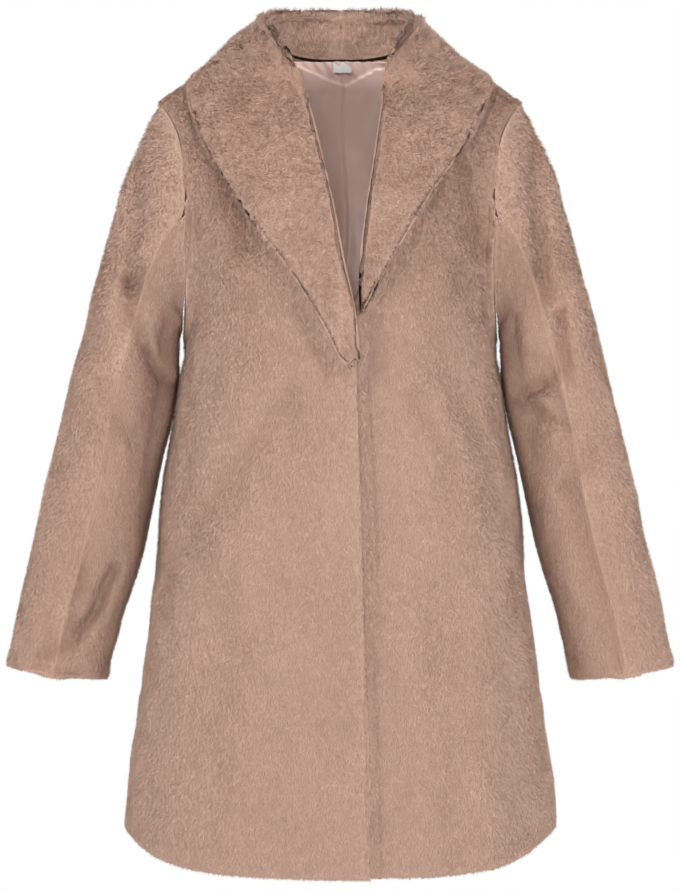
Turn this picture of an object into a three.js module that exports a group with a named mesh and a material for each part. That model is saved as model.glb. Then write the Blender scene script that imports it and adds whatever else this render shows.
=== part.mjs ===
// Faux fur coat with a shawl collar, in the hollow form that it keeps when it is worn.
// Millimetres. +Z is up, the front faces -Y, and +X is the wearer's left.
// The origin is on the centre line at the base of the neck, where the neck and shoulders carry the coat.
import * as THREE from "three";

// Driving dimensions
const PILE = 8; // what the laid pile adds outside its backing
const BACKING = 2;
const WALL = PILE + BACKING;
const LINING = 1.2;
const LINING_SPACE = 2.6; // between the fur cloth's inside and the lining
const SEAM = 0.5; // between two pieces that are sewn edge to edge
const REST_GAP = 2.3; // between a piece and what it lies on, more than a facet's sag
const LINING_OFFSET = WALL + LINING_SPACE;
const LINING_SEWN = { right: 1.6, left: 0.6 }; // how much nearer the fur cloth the front linings' edges come
const LINING_TOP_LIFT = 10; // the lining runs up past the neckline's edge to the collar seam
const FACING_WIDTH = 78; // how far the fronts' own cloth turns in before the lining starts

const HEM_Z = -836;
const HEM_RISE = 33; // how much higher the hem hangs at the sides than at the centre
const UNDERARM_Z = -285;
const LINING_HEM_Z = -806;
const SEAM_Y = 5; // the plane of the side and shoulder seams
const SHOULDER_ROUND = 150; // how far below the shoulder line the chest and back reach their full depth
const SECTION_POWER = 2.2; // 2 is an ellipse, more is squarer
const NECK_HALF = 72; // from the centre to the shoulder seam's neck end
const NECK_BACK_DROP = 16; // the back neckline's dip at the centre, below the shoulder line

// The body's outer form: half width, and depth from the seam plane to the front and to the back.
// The widths above the underarm are those of a section that runs on under the sleeves.
const BODY = [
  { z: -836, half: 231, front: 153, back: 152 },
  { z: -760, half: 228, front: 152, back: 149 },
  { z: -690, half: 218, front: 149, back: 144 },
  { z: -600, half: 206, front: 145, back: 137 },
  { z: -500, half: 194, front: 141, back: 128 },
  { z: -400, half: 181, front: 138, back: 119 },
  { z: -350, half: 171, front: 137, back: 117 },
  { z: -285, half: 165, front: 137, back: 118 },
  { z: -227, half: 173, front: 133, back: 120 },
  { z: -158, half: 188, front: 125, back: 119 },
  { z: -85, half: 205, front: 112, back: 112 },
  { z: -36, half: 216, front: 103, back: 106 },
  { z: 30, half: 226, front: 96, back: 100 },
];

// The shoulder line, from the centre out to the shoulder point
const SHOULDER = [
  { x: 0, z: 26 },
  { x: 40, z: 24.5 },
  { x: 72, z: 18 },
  { x: 115, z: 3 },
  { x: 157, z: -12 },
  { x: 193, z: -36 },
  { x: 230, z: -75 },
];

// The armhole seam's distance from the centre, in front and behind
const ARMHOLE = [
  { z: -285, front: 165, back: 165 },
  { z: -227, front: 158, back: 165 },
  { z: -158, front: 159, back: 169 },
  { z: -85, front: 166, back: 176 },
  { z: -60, front: 177, back: 183 },
  { z: -36, front: 193, back: 193 },
];
const ARMHOLE_TOP = -36;

// Where each front ends towards the centre: under its lapel above the first fastening, along its edge below.
// The wearer's right front lies over the left.
const FRONT_EDGE = [
  { z: 18, right: -72, left: 72 },
  { z: 0, right: -62, left: 63 },
  { z: -45, right: -45, left: 52 },
  { z: -89, right: -30, left: 44 },
  { z: -142, right: -18, left: 36 },
  { z: -183, right: -8, left: 30 },
  { z: -205, right: -2, left: 27 },
  { z: -236, right: 5, left: 22 },
  { z: -254, right: 12, left: 6 },
  { z: -275, right: 17, left: -10 },
  { z: -300, right: 19, left: -18 },
  { z: -411, right: 23, left: -16 },
  { z: -553, right: 27, left: -14 },
  { z: -836, right: 33, left: -12 },
];
const UNDERLAP = { depth: WALL + REST_GAP + 0.4, inner: 10, outer: 50, fullZ: -240, noneZ: -180 };

// The arm below the cap, in rings: the sides nearest and furthest from the centre, the front and back, and
// the slope of the ring towards the outer side
const ARM = [
  { z: -322, inner: 172, outer: 280, front: -60, back: 72, slope: 0.3 },
  { z: -350, inner: 177, outer: 287, front: -62, back: 70, slope: 0.28 },
  { z: -400, inner: 186.5, outer: 299, front: -63, back: 66, slope: 0.25 },
  { z: -450, inner: 193, outer: 310, front: -65, back: 61, slope: 0.22 },
  { z: -500, inner: 202, outer: 322, front: -67, back: 56, slope: 0.19 },
  { z: -575, inner: 225, outer: 340, front: -66, back: 50, slope: 0.16 },
  { z: -638, inner: 239, outer: 354, front: -64, back: 47, slope: 0.14 },
];
// How the sleeve leaves the armhole, at the underarm and at the shoulder point
const CAP_OUT = {
  under: { x: 0.93, z: -0.37, pull: 0.95, start: 1.2 },
  top: { x: 0.67, z: -0.74, pull: 0.48, start: 1.9 },
};
const ARM_DOWN = { x: 0.25, z: -0.97, pull: 0.9 }; // how the cap runs into the arm
const SLEEVE_RADIUS = 40; // the least that a sleeve has at its seams

// The lapels, from the tip upwards: the roll edge and the outer edge, measured outwards from the centre to
// the lapel's own side, with the thickness of the two layers of fur cloth
const LAPEL = {
  right: [
    { rollX: -20, rollZ: -312, outX: -11, outZ: -322, thick: 2.5 },
    { rollX: -19, rollZ: -290, outX: 1, outZ: -312, thick: 8 },
    { rollX: -16, rollZ: -262, outX: 13, outZ: -285, thick: 12 },
    { rollX: -11, rollZ: -238, outX: 33, outZ: -252, thick: 14 },
    { rollX: -4, rollZ: -205, outX: 58, outZ: -213, thick: 14 },
    { rollX: 2, rollZ: -170, outX: 88, outZ: -175, thick: 14 },
    { rollX: 10, rollZ: -132, outX: 114, outZ: -134, thick: 14 },
    { rollX: 19, rollZ: -92, outX: 136, outZ: -96, thick: 14 },
    { rollX: 29, rollZ: -52, outX: 150, outZ: -62, thick: 14 },
  ],
  left: [
    { rollX: 20, rollZ: -266, outX: 24, outZ: -264, thick: 3, rest: 5 },
    { rollX: 19, rollZ: -250, outX: 34, outZ: -246, thick: 9, rest: 4.5 },
    { rollX: 18.5, rollZ: -228, outX: 47, outZ: -221, thick: 12, rest: 3 },
    { rollX: 21, rollZ: -192, outX: 68, outZ: -185, thick: 14 },
    { rollX: 26, rollZ: -152, outX: 93, outZ: -143, thick: 14 },
    { rollX: 32, rollZ: -112, outX: 118, outZ: -108, thick: 14 },
    { rollX: 37, rollZ: -76, outX: 136, outZ: -76, thick: 14 },
    { rollX: 42, rollZ: -42, outX: 150, outZ: -46, thick: 14 },
  ],
};
const LAPEL_POWER = 5; // how square the lapel's section is

// The collar round the neck, from the front to the centre back: the neck seam, the crest where it rolls over,
// and the outer edge of the fall. x is measured outwards.
const COLLAR = [
  { seam: [47, -42, -8], crest: [51, -47, 8], edge: [156, -14, -24] },
  { seam: [61, -18, 15], crest: [66, -20, 36], edge: [150, 14, -4] },
  { seam: [65, 8, 20], crest: [77, 14, 56], edge: [139, 50, -19] },
  { seam: [54, 36, 17], crest: [70, 52, 67], edge: [108, 82, -28] },
  { seam: [29, 47, 12], crest: [41, 77, 71], edge: [60, 101, -33] },
  { seam: [0, 49, 12], crest: [0, 84, 73], edge: [0, 108, -35] },
];
const COLLAR_THICK = 12;
// How far the fall swells on each side
const FALL_BULGE = { right: 13, left: 8 };

// The largest folds, as troughs along the front or the back: x and z of each bend, half width and depth
const FOLDS = {
  front: [
    { path: [[-47, -350], [-95, -416], [-128, -461], [-166, -518]], width: 24, depth: 8 },
    { path: [[71, -355], [92, -385], [116, -418]], width: 16, depth: 6 },
    { path: [[108, -322], [134, -380], [155, -420]], width: 15, depth: 6 },
    { path: [[113, -96], [128, -165], [142, -208]], width: 13, depth: 7 },
    { path: [[-132, -590], [-142, -700], [-150, -836]], width: 30, depth: 6 },
    { path: [[-52, -520], [-58, -680], [-66, -836]], width: 26, depth: 4 },
    { path: [[96, -540], [112, -690], [126, -836]], width: 28, depth: 5 },
    { path: [[162, -610], [178, -720], [190, -836]], width: 22, depth: 5 },
  ],
  back: [
    { path: [[-92, -240], [-112, -480], [-138, -836]], width: 30, depth: 8 },
    { path: [[84, -260], [104, -500], [122, -836]], width: 28, depth: 8 },
    { path: [[-14, -420], [-22, -620], [-30, -836]], width: 26, depth: 6 },
    { path: [[46, -520], [52, -680], [58, -836]], width: 24, depth: 4 },
    { path: [[-60, -300], [-110, -350], [-158, -372]], width: 18, depth: 6 },
    { path: [[64, -318], [112, -362], [156, -392]], width: 18, depth: 6 },
    { path: [[-186, -560], [-200, -700], [-206, -836]], width: 22, depth: 5 },
    { path: [[170, -600], [186, -720], [194, -836]], width: 22, depth: 5 },
  ],
  sleeveFront: [
    { path: [[-210, -70], [-215, -160], [-220, -270]], width: 13, depth: 7 },
    { path: [[-222, -284], [-207, -313], [-178, -340]], width: 13, depth: 7 },
    { path: [[-306, -614], [-277, -605], [-250, -572], [-232, -520]], width: 14, depth: 8 },
    { path: [[208, -72], [210, -158], [215, -245], [222, -345]], width: 13, depth: 6 },
    { path: [[180, -344], [208, -330], [236, -318]], width: 12, depth: 6 },
    { path: [[192, -376], [222, -372], [246, -356]], width: 12, depth: 6 },
    { path: [[236, -440], [262, -530], [286, -612]], width: 20, depth: 6 },
  ],
  sleeveBack: [
    { path: [[-200, -90], [-214, -180], [-228, -280]], width: 14, depth: 7 },
    { path: [[-200, -372], [-240, -392], [-282, -396]], width: 14, depth: 7 },
    { path: [[-214, -430], [-250, -446], [-292, -438]], width: 13, depth: 6 },
    { path: [[-244, -560], [-290, -590], [-330, -596]], width: 14, depth: 5 },
    { path: [[202, -84], [216, -190], [232, -300]], width: 14, depth: 7 },
    { path: [[204, -384], [246, -404], [288, -402]], width: 14, depth: 7 },
    { path: [[222, -452], [258, -462], [300, -452]], width: 13, depth: 6 },
  ],
};

// The label's y is just in front of the lining.
const LABEL = { x: 2.5, y: 36.6, width: 20, top: 9, bottom: -3, thick: 1 };

// Grid sizes
const GRID = {
  lowerRows: 13,
  upperRows: 11,
  frontColumns: 13,
  backColumns: 24,
  capRows: 8,
  armRows: 13,
  halfSleeveColumns: 10,
  collarSections: 26,
  liningLowerRows: 8,
  liningUpperRows: 8,
  liningBackColumns: 14,
  liningFrontColumns: 5,
};

const { lerp, clamp } = THREE.MathUtils;
const smoothstep = (low, high, value) => {
  const t = clamp((value - low) / (high - low), 0, 1);
  return t * t * (3 - 2 * t);
};

// A smooth curve through a table's rows, which never swings past them
function curveThrough(rows, from, to) {
  const sorted = [...rows].sort((a, b) => a[from] - b[from]);
  const xs = sorted.map((row) => row[from]);
  const ys = sorted.map((row) => row[to]);
  const steps = xs.slice(1).map((x, i) => (ys[i + 1] - ys[i]) / (x - xs[i]));
  const slopes = ys.map((_, i) => {
    const before = steps[Math.max(i - 1, 0)];
    const after = steps[Math.min(i, steps.length - 1)];
    return before * after <= 0 ? 0 : (2 * before * after) / (before + after);
  });
  return (value) => {
    const x = clamp(value, xs[0], xs.at(-1));
    const i = clamp(xs.findIndex((edge) => edge >= x) - 1, 0, steps.length - 1);
    const width = xs[i + 1] - xs[i];
    const t = (x - xs[i]) / width;
    const rise = ys[i + 1] - ys[i];
    const bend = slopes[i] * width - rise;
    const end = rise - slopes[i + 1] * width;
    return ys[i] + t * rise + t * (1 - t) * ((1 - t) * bend + t * end);
  };
}

const bodyHalf = curveThrough(BODY, "z", "half");
const bodyDepth = {
  front: curveThrough(BODY, "z", "front"),
  back: curveThrough(BODY, "z", "back"),
};
const shoulderZ = curveThrough(SHOULDER, "x", "z");
const armholeX = {
  front: curveThrough(ARMHOLE, "z", "front"),
  back: curveThrough(ARMHOLE, "z", "back"),
};
const frontEdgeX = {
  right: curveThrough(FRONT_EDGE, "z", "right"),
  left: curveThrough(FRONT_EDGE, "z", "left"),
};

// How deep the folds of one list are at x, z: each is a soft trough that fades out at its ends
function foldDepth(folds, x, z, widen = 1) {
  let total = 0;
  for (const { path, width, depth } of folds) {
    let nearest = Infinity;
    for (let i = 0; i + 1 < path.length; i++) {
      const [ax, az] = path[i];
      const [bx, bz] = path[i + 1];
      const along = ((x - ax) * (bx - ax) + (z - az) * (bz - az)) / ((bx - ax) ** 2 + (bz - az) ** 2);
      const t = clamp(along, 0, 1);
      nearest = Math.min(nearest, Math.hypot(x - lerp(ax, bx, t), z - lerp(az, bz, t)));
    }
    total += depth * Math.exp(-((nearest / (width * widen)) ** 2));
  }
  return total;
}

// The wearer's left front sinks by one cloth where the right front lies over it.
function underlapDepth(x, z) {
  const edge = frontEdgeX.right(z);
  const across = 1 - smoothstep(edge + UNDERLAP.inner, edge + UNDERLAP.outer, x);
  return UNDERLAP.depth * across * (1 - smoothstep(UNDERLAP.fullZ, UNDERLAP.noneZ, z));
}

// How far the outer surface stands from the seam plane at x, z, on the front or the back
function surfaceDepth(face, x, z) {
  const share = clamp(Math.abs(x) / bodyHalf(z), 0, 1);
  const section = (1 - share ** SECTION_POWER) ** (1 / SECTION_POWER);
  const below = clamp((shoulderZ(Math.abs(x)) - z) / SHOULDER_ROUND, 0, 1);
  return bodyDepth[face](z) * section * Math.sqrt(1 - (1 - below) ** 2);
}

function surfaceY(face, x, z, side) {
  const away = SEAM / 2 + surfaceDepth(face, x, z);
  if (face === "back") return SEAM_Y + away;
  return SEAM_Y - away + (side === "left" ? underlapDepth(x, z) : 0);
}

// x at an angle round the body's section: 0 at the centre front or back, 90 degrees at the side
const sectionX = (angle, z) => {
  const share = Math.abs(Math.sin(angle)) ** (2 / SECTION_POWER);
  return bodyHalf(z) * Math.sign(angle) * share;
};
const sectionAngle = (x, z) => {
  const share = clamp(Math.abs(x) / bodyHalf(z), 0, 1);
  return Math.sign(x) * Math.asin(share ** (SECTION_POWER / 2));
};

// The rows below the underarm follow the hem: level at the underarm, and up at the sides at the bottom.
const hemLift = (x, z, up) => {
  const share = clamp(Math.abs(x) / bodyHalf(z), 0, 1);
  return (HEM_RISE * share ** 6 + 4 * share ** 2) * (1 - up) ** 2;
};

// Heights of the rows: even below the underarm, and closing up towards the shoulder line above it
const riseShare = (t) => 1 - Math.sin((t * Math.PI) / 2);

// A front panel. across runs from its centre edge, 0, to its side or armhole, 1. up runs from the hem, 0,
// over the underarm, 1, to the shoulder seam, 2.
function frontPoint(side, bottom = HEM_Z, inset = 0) {
  const sign = side === "left" ? 1 : -1;
  const edgeAt = (z) => frontEdgeX[side](z) + sign * inset;
  return (across, up) => {
    if (up <= 1) {
      const level = lerp(bottom, UNDERARM_Z, up);
      const angle = lerp(sectionAngle(edgeAt(level), level), (sign * Math.PI) / 2, across);
      const z = level + hemLift(sectionX(angle, level), level, up);
      const x = sectionX(angle, z);
      return new THREE.Vector3(x, surfaceY("front", x, z, side), z);
    }
    const rise = riseShare(up - 1);
    const armZ = lerp(ARMHOLE_TOP, UNDERARM_Z, rise);
    const armX = sign * armholeX.front(armZ);
    const edgeX = edgeAt(lerp(shoulderZ(NECK_HALF), UNDERARM_Z, rise));
    const edgeZ = lerp(shoulderZ(NECK_HALF + inset), UNDERARM_Z, rise);
    const angle = lerp(sectionAngle(edgeX, armZ), sectionAngle(armX, armZ), across);
    const x = sectionX(angle, armZ);
    const share = (x - edgeX) / (armX - edgeX);
    const edgeDrop = shoulderZ(Math.abs(edgeX)) - edgeZ;
    const armDrop = shoulderZ(Math.abs(armX)) - armZ;
    const z = shoulderZ(Math.abs(x)) - Math.max(lerp(edgeDrop, armDrop, share), 0);
    return new THREE.Vector3(x, surfaceY("front", x, z, side), z);
  };
}

// The back panel. across runs from the wearer's right side, -1, to the left, 1, and up is as on the fronts.
function backPoint(bottom = HEM_Z) {
  return (across, up) => {
    if (up <= 1) {
      const level = lerp(bottom, UNDERARM_Z, up);
      const angle = (across * Math.PI) / 2;
      const z = level + hemLift(sectionX(angle, level), level, up);
      const x = sectionX(angle, z);
      return new THREE.Vector3(x, surfaceY("back", x, z), z);
    }
    const rise = riseShare(up - 1);
    const armZ = lerp(ARMHOLE_TOP, UNDERARM_Z, rise);
    const armX = armholeX.back(armZ);
    const x = sectionX(across * sectionAngle(armX, armZ), armZ);
    const ridge = shoulderZ(Math.abs(x));
    const neckDrop = NECK_BACK_DROP * Math.max(1 - (x / NECK_HALF) ** 2, 0);
    const plain = lerp(ridge - neckDrop, UNDERARM_Z, rise);
    const armPlain = lerp(shoulderZ(armX), UNDERARM_Z, rise);
    const z = Math.min(plain + (armZ - armPlain) * (Math.abs(x) / armX) ** 4, ridge);
    return new THREE.Vector3(x, surfaceY("back", x, z), z);
  };
}

// The armhole seam, by the angle from its top, 0, over its front, a quarter turn, to the underarm and back
function armholePoint(side, turn) {
  const sign = side === "left" ? 1 : -1;
  const z = lerp(UNDERARM_Z, ARMHOLE_TOP, (1 + Math.cos(turn)) / 2);
  const face = Math.sin(turn) >= 0 ? "front" : "back";
  const x = sign * armholeX[face](z);
  const away = surfaceDepth(face, x, z);
  return new THREE.Vector3(x, SEAM_Y + (face === "front" ? -away : away), z);
}

const armTable = Object.fromEntries(
  ["inner", "outer", "front", "back", "slope"].map((key) => [key, curveThrough(ARM, "z", key)]),
);

function armPoint(side, turn, z) {
  const sign = side === "left" ? 1 : -1;
  const [inner, outer, front, back, slope] = Object.values(armTable).map((at) => at(z));
  const middle = (inner + outer) / 2;
  const x = middle + ((outer - inner) / 2) * Math.cos(turn);
  const y = (front + back) / 2 + ((front - back) / 2) * Math.sin(turn);
  return new THREE.Vector3(sign * x, y, z + slope * (x - middle));
}

// A sleeve. turn is the angle round it, as on the armhole. along runs from the armhole, 0, over the end of
// the cap, 1, to the cuff, 2.
function sleevePoint(side, turn, along) {
  const sign = side === "left" ? 1 : -1;
  if (along >= 1) return armPoint(side, turn, lerp(ARM[0].z, ARM.at(-1).z, along - 1));
  const start = armholePoint(side, turn);
  const end = armPoint(side, turn, ARM[0].z);
  const reach = start.distanceTo(end);
  const high = (1 + Math.cos(turn)) / 2;
  const capOf = (key) => lerp(CAP_OUT.under[key], CAP_OUT.top[key], high);
  const [outX, outZ, pull, gap] = ["x", "z", "pull", "start"].map(capOf);
  const out = new THREE.Vector3(sign * outX, 0, outZ);
  const down = new THREE.Vector3(sign * ARM_DOWN.x, 0, ARM_DOWN.z);
  const t = along;
  return start
    .addScaledVector(out, gap)
    .multiplyScalar(1 - 3 * t * t + 2 * t ** 3)
    .addScaledVector(out, reach * pull * t * (1 - t) ** 2)
    .addScaledVector(end, 3 * t * t - 2 * t ** 3)
    .addScaledVector(down, -reach * ARM_DOWN.pull * t * t * (1 - t));
}

// The outward normal of a surface at a, b, from small steps that stay inside its edges
function normalAt(surface, a, b, rangeA, rangeB, facing) {
  const step = 0.004;
  const stepIn = (value, [low, high]) => [Math.max(value - step, low), Math.min(value + step, high)];
  const [a0, a1] = stepIn(a, rangeA);
  const [b0, b1] = stepIn(b, rangeB);
  const alongA = surface(a1, b).sub(surface(a0, b));
  const alongB = surface(a, b1).sub(surface(a, b0));
  return alongA.cross(alongB).normalize().multiplyScalar(facing);
}

// A closed geometry from an outer and an inner grid of points with rims between them.
// Rows and columns run so that (next column) x (next row) points outwards.
function wallGeometry(outer, inner) {
  const rows = outer.length;
  const columns = outer[0].length;
  const positions = [...outer.flat(), ...inner.flat()].flatMap((p) => [p.x, p.y, p.z]);
  const out = (r, c) => r * columns + c;
  const into = (r, c) => rows * columns + r * columns + c;
  const index = [];
  const quad = (a, b, c, d) => index.push(a, b, c, a, c, d);
  for (let r = 0; r + 1 < rows; r++) {
    for (let c = 0; c + 1 < columns; c++) {
      quad(out(r, c), out(r, c + 1), out(r + 1, c + 1), out(r + 1, c));
      quad(into(r, c), into(r + 1, c), into(r + 1, c + 1), into(r, c + 1));
    }
    quad(out(r, 0), out(r + 1, 0), into(r + 1, 0), into(r, 0));
    const last = columns - 1;
    quad(out(r, last), into(r, last), into(r + 1, last), out(r + 1, last));
  }
  for (let c = 0; c + 1 < columns; c++) {
    quad(out(0, c), into(0, c), into(0, c + 1), out(0, c + 1));
    const last = rows - 1;
    quad(out(last, c), out(last, c + 1), into(last, c + 1), into(last, c));
  }
  const geometry = new THREE.BufferGeometry();
  geometry.setAttribute("position", new THREE.Float32BufferAttribute(positions, 3));
  geometry.setIndex(index);
  geometry.computeVertexNormals();
  return geometry;
}

function evenly(count, low, high) {
  return Array.from({ length: count + 1 }, (_, i) => lerp(low, high, i / count));
}

const panelRows = (lower, upper) => [...evenly(lower, 0, 1), ...evenly(upper, 1, 2).slice(1)];

// A wall over a surface: its outside is the surface sunk by offset and by the folds, and its inside is a
// thickness below. facing is -1 where the surface's own directions point the normal inwards.
function wallOver(surface, columns, rows, form) {
  const { thickness, offset = () => 0, folds = () => 0, facing = 1, shift } = form;
  const rangeA = [Math.min(...columns), Math.max(...columns)];
  const rangeB = [Math.min(...rows), Math.max(...rows)];
  const outer = [];
  const inner = [];
  for (const b of rows) {
    const outerRow = [];
    const innerRow = [];
    for (const a of columns) {
      const point = surface(a, b);
      const normal = normalAt(surface, a, b, rangeA, rangeB, facing);
      point.addScaledVector(normal, -offset(a) - folds(point, normal));
      if (shift) point.add(shift(b, point.x));
      outerRow.push(point);
      innerRow.push(point.clone().addScaledVector(normal, -thickness));
    }
    outer.push(facing > 0 ? outerRow : outerRow.reverse());
    inner.push(facing > 0 ? innerRow : innerRow.reverse());
  }
  return wallGeometry(outer, inner);
}

const bodyFolds = (face) => (p) => foldDepth(FOLDS[face], p.x, p.z);
// Deeper and wider than the fur cloth's folds, so that the lining clears them
const liningFolds = (face) => (p) => 1.15 * foldDepth(FOLDS[face], p.x, p.z, 1.8);
const sleeveFolds = (p, n) =>
  n.y < 0 ? -n.y * foldDepth(FOLDS.sleeveFront, p.x, p.z) : n.y * foldDepth(FOLDS.sleeveBack, p.x, p.z);

function frontGeometry(side) {
  const rows = panelRows(GRID.lowerRows, GRID.upperRows);
  return wallOver(frontPoint(side), evenly(GRID.frontColumns, 0, 1), rows, {
    thickness: WALL,
    folds: bodyFolds("front"),
    facing: side === "left" ? 1 : -1,
  });
}

function backGeometry() {
  const rows = panelRows(GRID.lowerRows, GRID.upperRows);
  return wallOver(backPoint(), evenly(GRID.backColumns, -1, 1), rows, {
    thickness: WALL,
    folds: bodyFolds("back"),
    facing: -1,
  });
}

// Half a sleeve: the top sleeve covers the outside of the arm and the under sleeve the side towards the body.
function sleeveGeometry(side, part) {
  const start = part === "top" ? -Math.PI / 2 : Math.PI / 2;
  const gap = SEAM / 2 / SLEEVE_RADIUS; // half the seam, as an angle
  const turns = evenly(GRID.halfSleeveColumns, start + gap, start + Math.PI - gap);
  const lengths = [...evenly(GRID.capRows, 0, 1), ...evenly(GRID.armRows, 1, 2).slice(1)];
  return wallOver((turn, along) => sleevePoint(side, turn, along), turns, lengths, {
    thickness: WALL,
    folds: sleeveFolds,
    facing: side === "left" ? 1 : -1,
  });
}

const fromOutward = (side, [x, y, z]) => new THREE.Vector3(side === "left" ? x : -x, y, z);

// Twelve points over the visible side of a lapel's section, and seven back along its underside
const VISIBLE = 12;
const HIDDEN = [0.97, 0.84, 0.67, 0.5, 0.33, 0.17, 0.04];

function lapelSection(side, { rollX, rollZ, outX, outZ, thick, rest = REST_GAP }) {
  const place = (share, height) => {
    const x = (side === "left" ? 1 : -1) * lerp(rollX, outX, share);
    const z = lerp(rollZ, outZ, share);
    return new THREE.Vector3(x, surfaceY("front", x, z, side) - rest - height, z);
  };
  const visible = evenly(VISIBLE - 1, 0, 1).map((share) => {
    const angle = Math.PI * (1 - share);
    const across = Math.sign(Math.cos(angle)) * Math.abs(Math.cos(angle)) ** (2 / LAPEL_POWER);
    return place(0.5 + 0.5 * across, thick * Math.abs(Math.sin(angle)) ** (2 / LAPEL_POWER));
  });
  return [...visible, ...HIDDEN.map((share) => place(share, 0))];
}

// The same points round the U of the collar: up the stand, over the crest, down the fall and back underneath
function collarSection(side, { seam, crest, edge }) {
  const [low, top, out] = [seam, crest, edge].map((p) => fromOutward(side, p));
  const stand = low.clone().lerp(top, 0.5);
  const fall = top.clone().lerp(out, 0.5);
  const away = out.clone().sub(low).setZ(0).normalize();
  const bulge = FALL_BULGE[side];
  fall.addScaledVector(away, bulge).add(new THREE.Vector3(0, 0, bulge));
  const shoulderOf = (a, b, share) => a.clone().lerp(b, share);
  const crestIn = shoulderOf(stand, top, 0.72).addScaledVector(away, -1);
  const crestOut = shoulderOf(top, fall, 0.3).add(new THREE.Vector3(0, 0, 4)).addScaledVector(away, 2);
  const bends = [low, stand, crestIn, top, crestOut, fall, out];
  const path = new THREE.CatmullRomCurve3(bends, false, "centripetal");
  const visible = evenly(VISIBLE - 1, 0, 1).map((share) => path.getPoint(share));
  const upright = new THREE.Vector3(0, 0, 1);
  const sideways = new THREE.Vector3().crossVectors(upright, away).normalize();
  const hidden = HIDDEN.map((share) => {
    const tangent = path.getTangent(share);
    const outward = new THREE.Vector3().crossVectors(sideways, tangent).normalize();
    const thick = COLLAR_THICK * (share > 0.9 ? 0.7 : 1);
    return path.getPoint(share).addScaledVector(outward, thick);
  });
  return [...visible, ...hidden];
}

// How far a point stands outside the body's surface: the distance along the steepest way out, and that way
function distanceFromBody(point, side) {
  const measure = ({ x, y, z }) => {
    const half = bodyHalf(z);
    const share = Math.min(Math.abs(x) / half, 0.985);
    const face = y < SEAM_Y ? "front" : "back";
    const section = (1 - share ** SECTION_POWER) ** (1 / SECTION_POWER);
    const sunk = side === "left" && face === "front" ? underlapDepth(x, z) : 0;
    const deep = (Math.abs(y - SEAM_Y) + sunk) / (bodyDepth[face](z) * section);
    const high = Math.max((z - shoulderZ(Math.abs(x))) / SHOULDER_ROUND + 1, 0);
    return Math.hypot(deep, high) - 1;
  };
  const here = measure(point);
  const step = 0.5;
  const slope = new THREE.Vector3(
    measure({ x: point.x + step, y: point.y, z: point.z }) - here,
    measure({ x: point.x, y: point.y + step, z: point.z }) - here,
    measure({ x: point.x, y: point.y, z: point.z + step }) - here,
  ).divideScalar(step);
  const steepness = Math.max(slope.length(), 1e-4);
  return { distance: here / steepness, direction: slope.divideScalar(steepness) };
}

// Moves a point of the collar out until it is at least a space away from the body
function clearOfBody(point, side, space) {
  for (let pass = 0; pass < 6; pass++) {
    const { distance, direction } = distanceFromBody(point, side);
    if (distance >= space) break;
    point.addScaledVector(direction, Math.min(space - distance, 12));
  }
  return point;
}

function collarGeometry(side) {
  const keys = [
    ...LAPEL[side].map((row) => lapelSection(side, row)),
    ...COLLAR.map((row) => collarSection(side, row)),
  ];
  const rails = keys[0].map(
    (_, i) => new THREE.CatmullRomCurve3(keys.map((section) => section[i]), false, "centripetal"),
  );
  const sections = evenly(GRID.collarSections, 0, 1).map((share) =>
    rails.map((rail) => clearOfBody(rail.getPoint(share), side, REST_GAP)),
  );
  const centreX = side === "left" ? SEAM / 2 : -SEAM / 2;
  sections.at(-1).forEach((point) => point.setX(centreX));
  return tubeGeometry(sections, side === "right");
}

// A closed solid through closed sections, with flat ends
function tubeGeometry(sections, flip) {
  const around = sections[0].length;
  const positions = sections.flat().flatMap((p) => [p.x, p.y, p.z]);
  const index = [];
  const face = (a, b, c) => index.push(...(flip ? [a, c, b] : [a, b, c]));
  for (let r = 0; r + 1 < sections.length; r++) {
    for (let i = 0; i < around; i++) {
      const [a, b] = [r * around + i, r * around + ((i + 1) % around)];
      face(a, b, b + around);
      face(a, b + around, a + around);
    }
  }
  const capOf = (section, base, reverse) => {
    const middle = section.reduce((sum, p) => sum.add(p), new THREE.Vector3()).divideScalar(around);
    const normal = new THREE.Vector3();
    section.forEach((p, i) => {
      const next = section[(i + 1) % around];
      normal.add(p.clone().sub(middle).cross(next.clone().sub(middle)));
    });
    normal.normalize();
    const u = section[3].clone().sub(section[0]).projectOnPlane(normal).normalize();
    const v = normal.clone().cross(u);
    const outline = section.map((p) => {
      const arm = p.clone().sub(middle);
      return new THREE.Vector2(arm.dot(u), arm.dot(v));
    });
    for (const [a, b, c] of THREE.ShapeUtils.triangulateShape(outline, [])) {
      if (reverse) face(base + a, base + c, base + b);
      else face(base + a, base + b, base + c);
    }
  };
  capOf(sections[0], 0, true);
  capOf(sections.at(-1), (sections.length - 1) * around, false);
  const geometry = new THREE.BufferGeometry();
  geometry.setAttribute("position", new THREE.Float32BufferAttribute(positions, 3));
  geometry.setIndex(index);
  geometry.computeVertexNormals();
  return geometry;
}

function liningBackGeometry() {
  const rows = panelRows(GRID.liningLowerRows, GRID.liningUpperRows);
  const columns = evenly(GRID.liningBackColumns, -0.985, 0.985);
  return wallOver(backPoint(LINING_HEM_Z), columns, rows, {
    thickness: LINING,
    offset: () => LINING_OFFSET,
    folds: liningFolds("back"),
    facing: -1,
    shift: (up, x) => {
      const top = Math.max(1 - (x / 60) ** 2, 0);
      const forward = 4 * smoothstep(1.6, 1.85, up) * top;
      return new THREE.Vector3(0, -forward, LINING_TOP_LIFT * smoothstep(1.88, 2, up) * top);
    },
  });
}

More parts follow.
